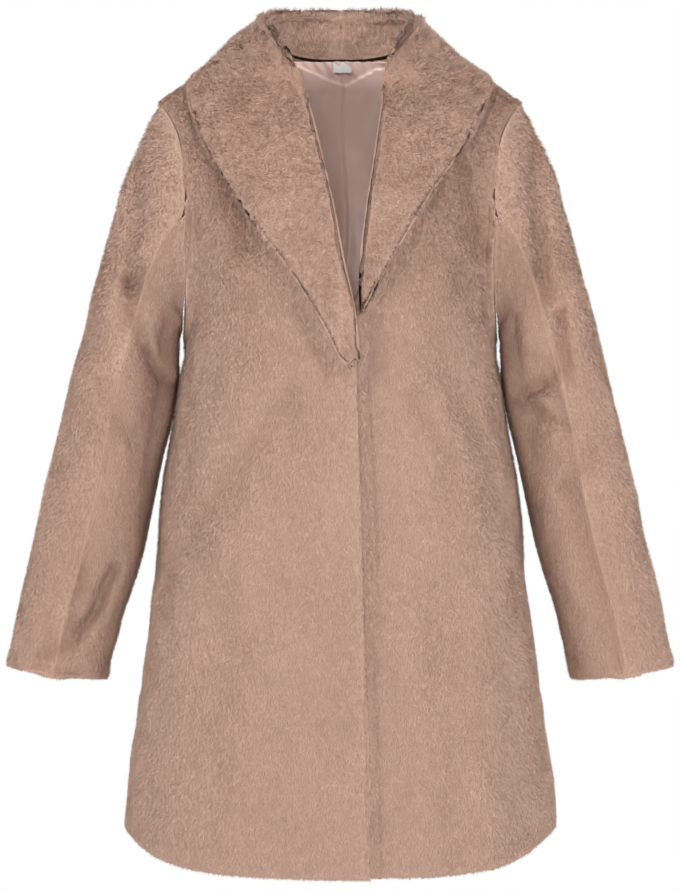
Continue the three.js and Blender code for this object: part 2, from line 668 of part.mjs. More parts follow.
function liningFrontGeometry(side) {
  const rows = panelRows(GRID.liningLowerRows, GRID.liningUpperRows).filter((up) => up < 1.9);
  const columns = evenly(GRID.liningFrontColumns, 0, 0.97);
  return wallOver(frontPoint(side, LINING_HEM_Z, FACING_WIDTH), columns, rows, {
    thickness: LINING,
    offset: (across) => LINING_OFFSET - LINING_SEWN[side] * (1 - smoothstep(0, 0.15, across)),
    folds: liningFolds("front"),
    facing: side === "left" ? 1 : -1,
  });
}

function labelGeometry() {
  const { x, width, top, bottom, thick } = LABEL;
  const geometry = new THREE.BoxGeometry(width, thick, top - bottom);
  geometry.translate(x, 0, (top + bottom) / 2);
  return geometry;
}

const cloth = (name, geometry, color, roughness) => {
  const mesh = new THREE.Mesh(geometry, new THREE.MeshStandardMaterial({ color, roughness, metalness: 0 }));
  mesh.name = name;
  return mesh;
};
const FUR_COLOR = 0xba9882;
const SATIN_COLOR = 0x9c7e74;
const LABEL_COLOR = 0xe6e2de;

const coat = new THREE.Group();
const fur = (name, geometry) => coat.add(cloth(name, geometry, FUR_COLOR, 0.9));
const satin = (name, geometry) => coat.add(cloth(name, geometry, SATIN_COLOR, 0.4));

fur("back", backGeometry());
satin("lining_back", liningBackGeometry());
for (const side of ["right", "left"]) {
  fur(`front_${side}`, frontGeometry(side));
  fur(`sleeve_${side}_top`, sleeveGeometry(side, "top"));
  fur(`sleeve_${side}_under`, sleeveGeometry(side, "under"));
  fur(`collar_${side}`, collarGeometry(side));
  satin(`lining_front_${side}`, liningFrontGeometry(side));
}

const label = cloth("label", labelGeometry(), LABEL_COLOR, 0.6);
label.position.y = LABEL.y;
coat.add(label);

export default coat;
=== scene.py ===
# A faux fur coat in its worn form: fur cloth shells with a real pile, a satin lining and a blank label.
import math

import bmesh
import bpy
import numpy as np
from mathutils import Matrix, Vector
from mathutils.bvhtree import BVHTree
from mathutils.kdtree import KDTree


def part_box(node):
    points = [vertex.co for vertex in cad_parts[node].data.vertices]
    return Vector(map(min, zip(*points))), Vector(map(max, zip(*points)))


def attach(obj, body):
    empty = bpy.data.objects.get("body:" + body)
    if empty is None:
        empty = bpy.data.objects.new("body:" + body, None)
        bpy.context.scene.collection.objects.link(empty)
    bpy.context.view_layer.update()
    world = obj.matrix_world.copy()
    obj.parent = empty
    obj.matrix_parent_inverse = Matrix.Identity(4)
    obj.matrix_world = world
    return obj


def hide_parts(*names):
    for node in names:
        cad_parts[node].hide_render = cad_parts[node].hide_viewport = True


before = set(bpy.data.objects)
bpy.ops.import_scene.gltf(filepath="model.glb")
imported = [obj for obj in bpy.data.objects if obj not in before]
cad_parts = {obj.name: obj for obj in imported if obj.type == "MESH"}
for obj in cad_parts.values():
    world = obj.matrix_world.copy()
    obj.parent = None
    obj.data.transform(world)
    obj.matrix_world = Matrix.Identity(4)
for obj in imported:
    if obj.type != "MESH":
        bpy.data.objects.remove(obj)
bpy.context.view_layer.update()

# Lengths are in metres
MM = 0.001
TINY = 1e-9
SEAM_Y = 0.005  # the plane of the side and shoulder seams
PILE = 0.0036  # how far the backing lies under the tips of the pile
SWELL_ROOM = 0.0008  # how much deeper than that it lies, where nothing else holds it
HAIR = 0.0049  # a hair's length, before it varies
LEAN = 42  # degrees between a hair and the surface's normal
LIGHT_HAIRS = 0.55  # share of the hairs that the surface gets where it faces away from the front
TOUCH = 0.0026  # faces that lie closer than this to another piece, and face it, carry no hair
SEAM_REACH = 0.009  # edges that lie closer than this to a piece that they are sewn to are seams
NEAR = 0.018  # how far a piece looks for its neighbours
BODY_REACH = 0.04  # how far the sleeves look for the body
FOLD_SHADE = 1.1  # how much more than it bends the pile shows a fold, since it parts there
SHARP = math.radians(64)  # steeper edges than this stay sharp
COLLAR_FOLD_Z = 0.02  # the collar's edges over this height are part of its fold
CENTRE = 0.003  # but not those this close to the middle plane, which are its seam
WELD = 0.00005  # corners of the solids closer than this are one
RIM_THICKNESS = 0.017  # more cloth than this behind a face means that it is on the cloth's edge
RIM_STEP, RIM_WIDTH = 0.003, 0.014  # the spacing of points along the rims, and how far a rim is felt
THICKEST = 0.03  # the most that thickness() gives
ENTRY, RAY_STEP = 0.003, 0.00002  # how soon a ray has to meet the cloth, and how far it starts behind a face
ARMHOLE_DEPTH, ARMHOLE_WIDTH = 0.004, 0.013  # how much lower a sleeve lies beside the body, and how far
SHOULDER_Z = -0.06  # above this height only the collar keeps faces in place
SINKS, SLEEVE_SINKS = 0.66, 0.5  # the share of the cloth's thickness that a backing sinks at most
INSET = 0.003  # how far inside its rim the cloth is measured
OVERLAP = 0.0004  # how far the edges of a seam go into each other
# How squarely a face points at its neighbour, as a cosine, in a seam, where it lies close and where it
# touches
SEAM_FACES, CLOSE_FACES, TOUCH_FACES = 0.2, 0.4, 0.55
STEADY = 0.6  # a normal that turns further than this, as a cosine, in the folds keeps its old direction
FAN = 0.8  # how far the hairs of a free edge lean out over it
BURIED = 0.0006  # how deep a hair's root is in the backing
PULL = 0.0014  # how far the tips of the hairs are drawn together


# Noise

def _hash(ix, iy, iz, seed):
    """A number from 0 to 1 for each cell, stirred by large odd factors."""
    h = (ix * 73856093) ^ (iy * 19349663) ^ (iz * 83492791) ^ (seed * 2654435761 % 2147483647)
    h = (h ^ (h >> 13)) * 1274126177
    h = h ^ (h >> 16)
    return (h & 0xFFFFFF).astype(np.float32) / np.float32(0xFFFFFF)


def noise(points, scale, seed):
    """Smooth noise from -1 to 1 with features about scale metres wide."""
    q = points / scale
    cell = np.floor(q).astype(np.int64)
    f = (q - cell).astype(np.float32)
    f = f * f * (3 - 2 * f)
    total = np.zeros(len(points), np.float32)
    for dx in (0, 1):
        wx = f[:, 0] if dx else 1 - f[:, 0]
        for dy in (0, 1):
            wy = f[:, 1] if dy else 1 - f[:, 1]
            for dz in (0, 1):
                wz = f[:, 2] if dz else 1 - f[:, 2]
                total += wx * wy * wz * _hash(cell[:, 0] + dx, cell[:, 1] + dy, cell[:, 2] + dz, seed)
    return total * 2 - 1


def noise_vectors(points, scale, seed):
    return np.stack([noise(points, scale, seed + k) for k in range(3)], 1)


def unit(v):
    return v / np.maximum(np.linalg.norm(v, axis=1, keepdims=True), TINY)


def smoothstep(low, high, value):
    t = np.clip((value - low) / (high - low), 0, 1)
    return t * t * (3 - 2 * t)


def trough(x, z, path, width):
    """How deep in a crease each x, z lies, from 0 to 1. path and width are in millimetres."""
    nearest = np.full(len(x), np.inf)
    for (ax, az), (bx, bz) in zip(path[:-1], path[1:]):
        ax, az, bx, bz = (v * MM for v in (ax, az, bx, bz))
        run, rise = bx - ax, bz - az
        t = np.clip(((x - ax) * run + (z - az) * rise) / (run ** 2 + rise ** 2), 0, 1)
        nearest = np.minimum(nearest, np.hypot(x - ax - t * run, z - az - t * rise))
    return np.exp(-((nearest / (width * MM)) ** 2))


# Mesh helpers

def read(items, key, width=1, kind=np.float32):
    """A value, or a row of width values, for each of a mesh's vertices, edges, corners or faces."""
    values = np.empty(len(items) * width, kind)
    items.foreach_get(key, values)
    return values.reshape(-1, width) if width > 1 else values


def write(mesh, key, values, domain="POINT"):
    """Keeps a number or a vector for each vertex or face as an attribute."""
    kind, field = ("FLOAT", "value") if values.ndim == 1 else ("FLOAT_VECTOR", "vector")
    values = np.ascontiguousarray(values, np.float32).ravel()
    mesh.attributes.new(key, kind, domain).data.foreach_set(field, values)


def coordinates(mesh):
    return read(mesh.vertices, "co", 3)


def set_coordinates(mesh, co):
    mesh.vertices.foreach_set("co", np.ascontiguousarray(co, np.float32).ravel())
    mesh.update()


def add_object(name, data):
    obj = bpy.data.objects.new(name, data)
    bpy.context.scene.collection.objects.link(obj)
    return obj


RIMS = {}


def keep_rims(bm, crease, node):
    """Keeps points along a piece's sharp edges, to tell how near its rim a hair grows."""
    points = []
    for e in bm.edges:
        if e[crease]:
            a, b = (v.co for v in e.verts)
            steps = max(1, int((b - a).length / RIM_STEP))
            points += [a.lerp(b, k / steps) for k in range(steps)]
    tree = KDTree(max(1, len(points)))
    for k, point in enumerate(points):
        tree.insert(point, k)
    tree.balance()
    RIMS[node] = tree


def near_rim(points, node):
    """1 on a piece's sharp edges, and 0 from RIM_WIDTH away."""
    distance = np.array([RIMS[node].find(Vector(point))[2] for point in points])
    return smoothstep(RIM_WIDTH, RIM_STEP, distance)


def smooth_shell(name, node, levels):
    """A fine, smooth copy of a CAD node that keeps its sharp rims, with its rim's faces marked on fur."""
    bm = bmesh.new()
    bm.from_mesh(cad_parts[node].data)
    bmesh.ops.remove_doubles(bm, verts=bm.verts, dist=WELD)
    bmesh.ops.join_triangles(
        bm, faces=bm.faces[:], angle_face_threshold=math.radians(50), angle_shape_threshold=math.radians(70)
    )
    crease = bm.edges.layers.float.new("crease_edge")
    for e in bm.edges:
        a, b = (v.co for v in e.verts)
        # The collar turns over its fold in a few steep steps, which aren't edges of the cloth, but the seam
        # in its middle is one
        in_middle = max(abs(a.x), abs(b.x)) <= CENTRE
        fold = node.startswith("collar") and min(a.z, b.z) > COLLAR_FOLD_Z and not in_middle
        if len(e.link_faces) == 2 and e.calc_face_angle(0) > SHARP and not fold:
            e[crease] = 1.0
    keep_rims(bm, crease, node)
    if node in TREES:
        # A face with a sharp side and much cloth straight behind it is on the cloth's edge
        on_rim = bm.faces.layers.float.new("on_rim")
        middles = np.array([f.calc_center_median() for f in bm.faces])
        deep = thickness(middles, np.array([f.normal for f in bm.faces]), node) > RIM_THICKNESS
        for f, is_deep in zip(bm.faces, deep):
            f[on_rim] = float(is_deep and any(e[crease] for e in f.edges))
    mesh = bpy.data.meshes.new(name)
    bm.to_mesh(mesh)
    bm.free()
    if "custom_normal" in mesh.attributes:
        mesh.attributes.remove(mesh.attributes["custom_normal"])
    obj = add_object(name, mesh)
    subdivide(obj, levels)
    return obj


def subdivide(obj, levels):
    modifier = obj.modifiers.new("fine", "SUBSURF")
    modifier.levels = modifier.render_levels = levels
    modifier.use_limit_surface = False
    bpy.context.view_layer.update()
    fine = bpy.data.meshes.new_from_object(obj.evaluated_get(bpy.context.evaluated_depsgraph_get()))
    fine.name = obj.name
    obj.modifiers.clear()
    old = obj.data
    obj.data = fine
    bpy.data.meshes.remove(old)
    obj.data.shade_smooth()


FUR_NODES = [
    "back", "front_right", "front_left", "collar_right", "collar_left",
    "sleeve_right_top", "sleeve_right_under", "sleeve_left_top", "sleeve_left_under",
]
BODY = [FUR_NODES.index(node) for node in ("back", "front_right", "front_left")]
COLLAR = [FUR_NODES.index(node) for node in ("collar_right", "collar_left")]


def search_tree(mesh):
    return BVHTree.FromPolygons([v.co for v in mesh.vertices], [p.vertices[:] for p in mesh.polygons])


TREES = {node: search_tree(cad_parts[node].data) for node in FUR_NODES}


def neighbour(points, node, pairs=None):
    """For each point, the way to the nearest other piece of fur cloth, the gap, and the piece's number.

    Where none is near, the way is 0, the gap 1 and the number -1. pairs says which pieces count.
    """
    way, gap, piece = np.zeros((len(points), 3)), np.full(len(points), 1.0), np.full(len(points), -1)
    for number, other in enumerate(FUR_NODES):
        if other == node or (pairs is not None and not pairs[number]):
            continue
        low, high = (np.array(v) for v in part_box(other))
        close = np.flatnonzero(((points > low - NEAR) & (points < high + NEAR)).all(1))
        for i in close:
            found, _, _, distance = TREES[other].find_nearest(Vector(points[i]), NEAR)
            if found is not None and distance < gap[i]:
                gap[i] = distance
                piece[i] = number
                way[i] = (np.array(found) - points[i]) / max(distance, TINY)
    return way, gap, piece


def sewn_pairs(node):
    """Which of the fur nodes are sewn to this one edge to edge."""
    def pair(other):
        if node.startswith("collar") or other.startswith("collar"):
            return node.startswith("collar") and other.startswith("collar")
        if node.startswith("sleeve") and other.startswith("sleeve"):
            return node.rsplit("_", 1)[0] == other.rsplit("_", 1)[0]
        return not (node.startswith("front") and other.startswith("front"))
    return [pair(other) for other in FUR_NODES]


def distance_to_body(points):
    """How far each point is from the back and the fronts, up to BODY_REACH."""
    result = np.full(len(points), BODY_REACH)
    for number in BODY:
        for i, point in enumerate(points):
            found, _, _, distance = TREES[FUR_NODES[number]].find_nearest(Vector(point), result[i])
            if found is not None:
                result[i] = distance
    return result


def ruffle_at(points, node):
    """How ruffled the pile is: smooth on the skirt, rough on the shoulders, and roughest on the collar."""
    high = smoothstep(-0.34, -0.10, points[:, 2])
    rough = 0.34 + 0.58 * high + 0.16 * noise(points, 0.06, 31) * (0.4 + high)
    if node.startswith("collar"):
        rough = 0.95 + 0.6 * smoothstep(-0.22, -0.06, points[:, 2]) + 0.25 * noise(points, 0.04, 32)
    return np.clip(rough, 0.25, 1.8)


# The patches of the pile's tone: how strong, how wide, and a seed
PATCHES = [(0.30, 0.075, 21), (0.26, 0.034, 22), (0.16, 0.015, 23)]


def tone_and_painted_light_at(points, node):
    """The pile's tone in broad patches, from brown, 0, to greyish pink, 1, with painted shade that makes it
    browner towards the top of the body and the collar and in the creases, and painted highlight that makes it
    lighter towards the top of the sleeves.
    """
    z = points[:, 2]
    high = smoothstep(-0.36, -0.12, z)
    patch = sum(height * noise(points, scale, seed) for height, scale, seed in PATCHES)
    painted_crease_shade = creases_at(points, node)[1]
    # Painted shade: browner towards the top of the body and the collar; painted highlight: lighter towards
    # the top of the sleeves
    if node.startswith("collar"):
        return 0.74 + 0.25 * smoothstep(-0.10, -0.22, z) + 0.9 * patch - painted_crease_shade
    if node.startswith("sleeve"):
        return 0.74 + 0.34 * smoothstep(-0.22, -0.07, z) + patch * (0.35 + 0.5 * high) - painted_crease_shade
    return 0.90 - 0.44 * high + patch * (0.22 + 0.6 * high) - painted_crease_shade


def on_scale(tone):
    """The tone on the materials' scale, which has room for darker and lighter grain on either side."""
    return np.clip(0.35 + 0.5 * tone, 0, 1)


def thickness(points, normals, node):
    """How thick the cloth is under each point: the way to the face where a ray comes out of it.

    It is 0 where the ray doesn't meet the cloth, or only after ENTRY.
    """
    result = np.zeros(len(points))
    for i in range(len(points)):
        direction = Vector(-normals[i])
        gone = 0.0
        while gone < ENTRY:
            hit, normal, _, distance = TREES[node].ray_cast(Vector(points[i]) + direction * gone, direction)
            if hit is None:
                break
            gone += distance
            if normal.dot(direction) > 0:
                result[i] = min(gone, THICKEST)
                break
            gone += RAY_STEP
    return result


# Where the hollow's middle is, so that outer faces are told from inner ones

def body_middle(co):
    x = np.clip(co[:, 0] * 0.55, -0.1, 0.1)
    z = np.minimum(co[:, 2], -0.14)
    return np.stack([x, np.full(len(co), SEAM_Y), z], 1)


# The middle line of the left sleeve: height, x and y
SLEEVE_LINE = [
    (-0.638, 0.2965, -0.0085),
    (-0.575, 0.2825, -0.008),
    (-0.5, 0.262, -0.0055),
    (-0.45, 0.2515, -0.002),
    (-0.4, 0.243, 0.0015),
    (-0.35, 0.232, 0.004),
    (-0.322, 0.226, 0.006),
    (-0.2, 0.198, 0.005),
    (-0.05, 0.165, 0.005),
]


def sleeve_middle(co):
    sign = np.sign(co[:, 0].mean())
    z = co[:, 2]
    heights, across, depths = zip(*SLEEVE_LINE)
    x, y = np.interp(z, heights, across), np.interp(z, heights, depths)
    return np.stack([sign * x, y, np.minimum(z, -0.1)], 1)


# Materials

class Nodes:
    """Builds a material's node tree a line at a time."""

    def __init__(self, name):
        self.material = bpy.data.materials.new(name)
        self.material.use_nodes = True
        self.tree = self.material.node_tree
        self.shader = self.tree.nodes["Principled BSDF"]

    def add(self, kind, **settings):
        node = self.tree.nodes.new(kind)
        for key, value in settings.items():
            setattr(node, key, value)
        return node

    def link(self, a, b):
        self.tree.links.new(a, b)

    def attribute(self, name):
        return self.add("ShaderNodeAttribute", attribute_name=name).outputs["Fac"]

    def noise(self, scale, detail=3, roughness=0.55, stretch=(1, 1, 1)):
        place = self.add("ShaderNodeTexCoord").outputs["Object"]
        mapping = self.add("ShaderNodeMapping")
        mapping.inputs["Scale"].default_value = stretch
        self.link(place, mapping.inputs["Vector"])
        texture = self.add("ShaderNodeTexNoise")
        texture.inputs["Scale"].default_value = scale
        texture.inputs["Detail"].default_value = detail
        texture.inputs["Roughness"].default_value = roughness
        self.link(mapping.outputs["Vector"], texture.inputs["Vector"])
        return texture.outputs["Fac"]

    def ramp(self, value, stops):
        node = self.add("ShaderNodeValToRGB")
        elements = node.color_ramp.elements
        while len(elements) < len(stops):
            elements.new(0.5)
        for element, (place, color) in zip(elements, stops):
            element.position = place
            element.color = (*color, 1)
        self.link(value, node.inputs["Fac"])
        return node.outputs["Color"]

    def mix(self, factor, a, b, blend="MIX"):
        node = self.add("ShaderNodeMix", data_type="RGBA", blend_type=blend)
        for value, socket in ((factor, node.inputs["Factor"]), (a, node.inputs["A"]), (b, node.inputs["B"])):
            if isinstance(value, (int, float)):
                socket.default_value = value
            elif isinstance(value, tuple):
                socket.default_value = (*value, 1)
            else:
                self.link(value, socket)
        return node.outputs["Result"]

    def bump(self, height, strength, distance):
        node = self.add("ShaderNodeBump")
        node.inputs["Strength"].default_value = strength
        node.inputs["Distance"].default_value = distance
        self.link(height, node.inputs["Height"])
        self.link(node.outputs["Normal"], self.shader.inputs["Normal"])

    def surface(self, color, roughness, sheen=0.0, tint=(1, 1, 1), sheen_roughness=0.5):
        if isinstance(color, tuple):
            self.shader.inputs["Base Color"].default_value = (*color, 1)
        else:
            self.link(color, self.shader.inputs["Base Color"])
        self.shader.inputs["Roughness"].default_value = roughness
        self.shader.inputs["Sheen Weight"].default_value = sheen
        self.shader.inputs["Sheen Tint"].default_value = (*tint, 1)
        self.shader.inputs["Sheen Roughness"].default_value = sheen_roughness
        return self.material


ROOT = (0.30, 0.175, 0.122)
MIDDLE = (0.49, 0.315, 0.238)
TIP = (0.60, 0.40, 0.31)
TONES = [
    (0.0, (0.46, 0.40, 0.37)),  # between the tufts
    (0.35, (0.70, 0.64, 0.60)),  # the browner patches, where the pile lies away from the light
    (0.85, (1.0, 1.0, 1.02)),
    (1.0, (1.14, 1.15, 1.18)),
]


def fur_material():
    m = Nodes("fur_pile")
    along = m.ramp(m.attribute("along"), [(0.0, ROOT), (0.45, MIDDLE), (1.0, TIP)])
    tone = m.ramp(m.attribute("tone"), TONES)
    color = m.mix(1.0, along, tone, "MULTIPLY")
    m.shader.inputs["Specular IOR Level"].default_value = 0.2
    # A hair is a blade that shades like the pile around it on both of its sides
    geometry = m.add("ShaderNodeNewGeometry")
    sign = m.add("ShaderNodeMath", operation="MULTIPLY_ADD")
    sign.inputs[1].default_value = -2
    sign.inputs[2].default_value = 1
    m.link(geometry.outputs["Backfacing"], sign.inputs[0])
    steady = m.add("ShaderNodeVectorMath", operation="SCALE")
    m.link(geometry.outputs["Normal"], steady.inputs[0])
    m.link(sign.outputs[0], steady.inputs["Scale"])
    m.link(steady.outputs[0], m.shader.inputs["Normal"])
    return m.surface(color, 0.72, 0.12, (1.0, 0.86, 0.78), 0.45)


def backing_material():
    m = Nodes("fur_backing")
    fine = m.noise(420, 2, 0.6, (1, 1, 0.45))
    patches = m.noise(28, 3)
    color = m.mix(fine, (0.38, 0.235, 0.172), (0.50, 0.322, 0.244))
    color = m.mix(m.ramp(patches, [(0.35, (0, 0, 0)), (0.65, (1, 1, 1))]), color, (0.45, 0.285, 0.215))
    tone = m.ramp(m.attribute("tone"), TONES)
    color = m.mix(1.0, color, tone, "MULTIPLY")
    m.bump(fine, 0.7, 0.0015)
    return m.surface(color, 0.85, 0.1, (1, 0.86, 0.78))


def satin_material():
    m = Nodes("lining_satin")
    threads = m.noise(1500, 2, 0.5, (1, 1, 0.06))
    cloud = m.noise(22, 3)
    color = m.mix(threads, (0.74, 0.53, 0.46), (0.82, 0.60, 0.53))
    color = m.mix(m.ramp(cloud, [(0.3, (0, 0, 0)), (0.7, (1, 1, 1))]), color, (0.77, 0.56, 0.49))
    m.bump(threads, 0.12, 0.0002)
    m.shader.inputs["Anisotropic"].default_value = 0.5
    m.shader.inputs["Specular IOR Level"].default_value = 0.55
    return m.surface(color, 0.36, 0.25, (1, 0.9, 0.86), 0.35)


def label_material():
    m = Nodes("label_tape")
    weave = m.add("ShaderNodeTexWave", wave_type="BANDS", bands_direction="X")
    weave.inputs["Scale"].default_value = 900
    weave.inputs["Distortion"].default_value = 0.4
    m.link(m.add("ShaderNodeTexCoord").outputs["Object"], weave.inputs["Vector"])
    color = m.mix(weave.outputs["Fac"], (0.62, 0.60, 0.585), (0.74, 0.72, 0.705))
    m.bump(weave.outputs["Fac"], 0.3, 0.0002)
    return m.surface(color, 0.55, 0.1)


FUR, BACKING, SATIN, TAPE = fur_material(), backing_material(), satin_material(), label_material()


def finish_piece(obj, material, slot, *nodes):
    obj.data.materials.clear()
    obj.data.materials.append(material)
    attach(obj, "root")
    if nodes:
        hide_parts(*nodes)


# The fur cloth

# How the cloth swells and sinks by itself: the height, the width of the swells, and a seed
SWELLS = [(0.0020, 0.055, 11), (0.0012, 0.024, 12), (0.0006, 0.011, 13)]

# Creases in the front, finer than the solids have, in millimetres: the piece, the path through x and z, the
# half width, the depth, and how much browner the pile is painted there, as painted shade in the crease and,
# on the chest beside the collar's edges, as painted shadow of the collar
CREASES = [
    ("front", [(-49, -348), (-100, -417), (-138, -465), (-175, -524)], 10, 3.0, 0.30),
    ("front", [(75, -353), (118, -412)], 8, 2.6, 0.22),
    ("front", [(118, -334), (161, -412)], 8, 2.8, 0.28),
    # These two are shallow valleys on the chest beside the collar's edges, browner as painted shadow of the
    # collar
    ("front", [(118, -78), (131, -140), (148, -203)], 9, 3.4, 0.6),
    ("front", [(-126, -68), (-120, -130), (-100, -195)], 15, 3.4, 0.6),
    ("front", [(-46, -261), (-38, -273), (-25, -300), (-13, -324)], 5, 3.2, 0.4),
    ("sleeve_right", [(-211, -67), (-217, -150), (-220, -227)], 8, 5.5, 0.45),
    ("sleeve_right", [(-220, -227), (-215, -268), (-190, -318), (-174, -342)], 7, 6.5, 0.60),
    ("sleeve_right", [(-248, -330), (-232, -372), (-212, -392)], 8, 3.6, 0.3),
    ("sleeve_right", [(-307, -615), (-277, -605), (-250, -572), (-231, -527)], 6, 6.5, 0.60),
    ("sleeve_right", [(-292, -632), (-268, -634)], 6, 3.0, 0.3),
    ("sleeve_right", [(-266, -545), (-262, -528)], 12, 2.5, 0.3),
    ("sleeve_left", [(208, -67), (210, -158), (214, -246)], 8, 5.5, 0.5),
    ("sleeve_left", [(231, -262), (232, -322), (210, -333), (189, -343)], 7, 6.0, 0.55),
    ("sleeve_left", [(184, -353), (212, -368), (238, -379)], 6, 4.5, 0.45),
    ("sleeve_left", [(262, -402), (246, -432), (226, -446)], 7, 3.2, 0.25),
    ("sleeve_left", [(236, -440), (262, -530), (286, -612)], 14, 3.6, 0.25),
    ("collar", [(-112, -28), (-104, -40)], 13, 0.8, 0.40),
    ("collar", [(-104, -52), (-84, -72)], 9, 0.8, 0.30),
    ("collar", [(104, -30), (120, -46)], 10, 0.8, 0.30),
]


def creases_at(points, node):
    """How deep the creases are at each point, in metres, and how much browner the pile is painted there as
    painted shade.
    """
    deep, painted_crease_shade = np.zeros(len(points)), np.zeros(len(points))
    for piece, path, width, depth, tone in CREASES:
        if node.startswith(piece):
            share = trough(points[:, 0], points[:, 2], path, width)
            deep += share * depth * MM
            # Painted shade: the pile is browner along each crease
            painted_crease_shade += share * tone
    front = smoothstep(0.03, 0.0, points[:, 1])
    return deep * front, painted_crease_shade * front


def spread(values, edges, where, rounds):
    """Gives the vertices in where the mean of those round them, again and again."""
    ends = np.concatenate([edges, edges[:, ::-1]])
    count = np.maximum(np.bincount(ends[:, 0], minlength=len(values)), 1)
    for _ in range(rounds):
        total = np.stack([np.bincount(ends[:, 0], values[ends[:, 1], k], len(values)) for k in range(3)], 1)
        values[where] = (total / count[:, None])[where]
    return values


def make_backing(node, middle, levels=2, underside=None):
    """The knitted backing that the pile stands on, under the form that the solids give."""
    obj = smooth_shell("cloth_" + node, node, levels)
    mesh = obj.data
    is_sleeve, is_collar = node.startswith("sleeve"), node.startswith("collar")
    co = coordinates(mesh)
    edges = read(mesh.edges, "vertices", 2, np.int32)
    corners = read(mesh.loops, "vertex_index", kind=np.int32)
    owner = np.repeat(np.arange(len(mesh.polygons)), read(mesh.polygons, "loop_total", kind=np.int32))
    area = read(mesh.polygons, "area")
    on_rim = read(mesh.attributes["on_rim"].data, "value") > 0.5

    def normals_of(faces):
        """The normal at each vertex, by these faces as they now are, and whether it has any of them."""
        keep = faces[owner]
        push = read(mesh.polygons, "normal", 3)[owner[keep]] * area[owner[keep], None]
        total = np.stack([np.bincount(corners[keep], push[:, k], len(co)) for k in range(3)], 1)
        return unit(total), np.linalg.norm(total, axis=1) > TINY

    # The skin is the cloth's broad sides, and the rim is its edge
    skin, has_skin = normals_of(~on_rim)
    rim, has_rim = normals_of(on_rim)
    skin[~has_skin] = rim[~has_skin]
    way, gap, piece = neighbour(co, node, sewn_pairs(node))
    beside = has_rim & (gap < SEAM_REACH)
    seam = beside & ((rim * way).sum(1) > SEAM_FACES)
    free = has_rim & ~beside
    # A sleeve goes all the way to the body's edge, its halves meet half way, as the body's pieces do, and the
    # other edges stay
    to_body = np.isin(piece, BODY)
    share = np.where(to_body, 1.0, 0.5) if is_sleeve else np.where(to_body, 0.5, 0.0)
    # 1 on the outside of the cloth, and 0 on its inside
    out = smoothstep(-0.35, 0.0, (unit(co - middle(co)) * skin).sum(1)) if middle else np.ones(len(co))
    if underside:
        out = out * underside(co, skin)
    # Faces that lie close to another piece keep their place, so that no light shows between them
    toward, room, nearest = neighbour(co, node)
    by_collar = np.isin(nearest, COLLAR) | is_collar
    close = ((skin * toward).sum(1) > CLOSE_FACES) & (by_collar | (co[:, 2] < SHOULDER_Z))
    swell = sum(height * noise(co, scale, seed) for height, scale, seed in SWELLS)
    fold = np.abs(skin[:, 1]) * creases_at(co, node)[0] - swell
    depth = out * (PILE + SWELL_ROOM + fold) * np.where(close, smoothstep(0.002, 0.012, room), 1)
    if is_sleeve:
        # The sleeve comes out from under the body's edge, so it lies lower along the armhole
        beside_body = np.exp(-((distance_to_body(co) / ARMHOLE_WIDTH) ** 2))
        valley = beside_body * smoothstep(-0.05, -0.10, co[:, 2])
        depth = depth + ARMHOLE_DEPTH * out * valley
    # The cloth is measured a little inside its rim, where a ray doesn't run along the rim's own faces
    inside = co - rim * np.where(has_rim, INSET, 0)[:, None]
    cloth_here = thickness(inside, skin, node)
    if is_sleeve:
        # The inner face follows the folds
        most = SLEEVE_SINKS * cloth_here + out * np.maximum(fold, 0)
        depth = np.minimum(depth, most) - (1 - out) * fold * ~close
    else:
        depth = np.minimum(depth, SINKS * cloth_here)
    move = -skin * (depth * has_skin)[:, None]
    # A free edge draws back under its own pile, and a sewn one meets its neighbour, with a slight overlap
    move = move - rim * np.where(free, PILE, 0)[:, None]
    move = move + way * np.where(seam, gap * share + OVERLAP, 0)[:, None]
    if is_sleeve:
        # Under the arm, as far as the elbow, the sleeve rests on the body
        resting = np.where(close & ~seam, room * smoothstep(NEAR, 0.013, room), 0)
        under_arm = smoothstep(-0.48, -0.36, co[:, 2])
        move = move + toward * resting[:, None] * under_arm[:, None]
        move = spread(move, edges, np.minimum(room, gap) < NEAR, 4)
    move = spread(move, edges, has_rim & ~has_skin, 30)
    if is_collar:
        move = spread(move, edges, has_rim, 6)
    set_coordinates(mesh, co + move)
    # Hairs stand on the folded skin, and fan out round a free edge
    bent, _ = normals_of(~on_rim)
    steady = ((bent * skin).sum(1) < STEADY) | has_rim
    bent = np.where(steady[:, None], skin, bent + FOLD_SHADE * (bent - skin))
    facing = unit(bent + rim * np.where(free & has_skin, FAN, 0)[:, None])
    if is_collar:
        facing = unit(spread(facing, edges, has_rim, 3))
    write(mesh, "outside", np.where(has_skin, out, 1))
    write(mesh, "tone", on_scale(tone_and_painted_light_at(co, node)))
    # No hair grows in a seam: on a face of the rim with two or more corners in one
    sewn = np.bincount(owner, seam[corners], len(area)) >= 2
    write(mesh, "grows", ~(on_rim & sewn), "FACE")
    write(mesh, "custom_normal", facing)
    mesh.update()
    finish_piece(obj, BACKING, "fur", node)
    return obj


# Which way the pile lies, from the places and the normals

def down_the_cloth(co, n):
    return np.tile(np.array([0.0, 0.0, -1.0]), (len(co), 1))


def down_the_arm(co, n):
    return np.stack([np.sign(co[:, 0]) * 0.25, np.zeros(len(co)), np.full(len(co), -0.97)], 1)


def down_the_collar(co, n):
    """Away from the fold: out and down over the fall, and up on the side that faces the neck."""
    away = np.stack([np.sign(co[:, 0]) * 0.55, np.zeros(len(co)), np.full(len(co), -0.83)], 1)
    up = np.tile(np.array([0.0, 0.0, 1.0]), (len(co), 1))
    share = (smoothstep(-0.02, 0.02, co[:, 1]) * smoothstep(0.1, -0.2, n[:, 1]))[:, None]
    return away * (1 - share) + up * share


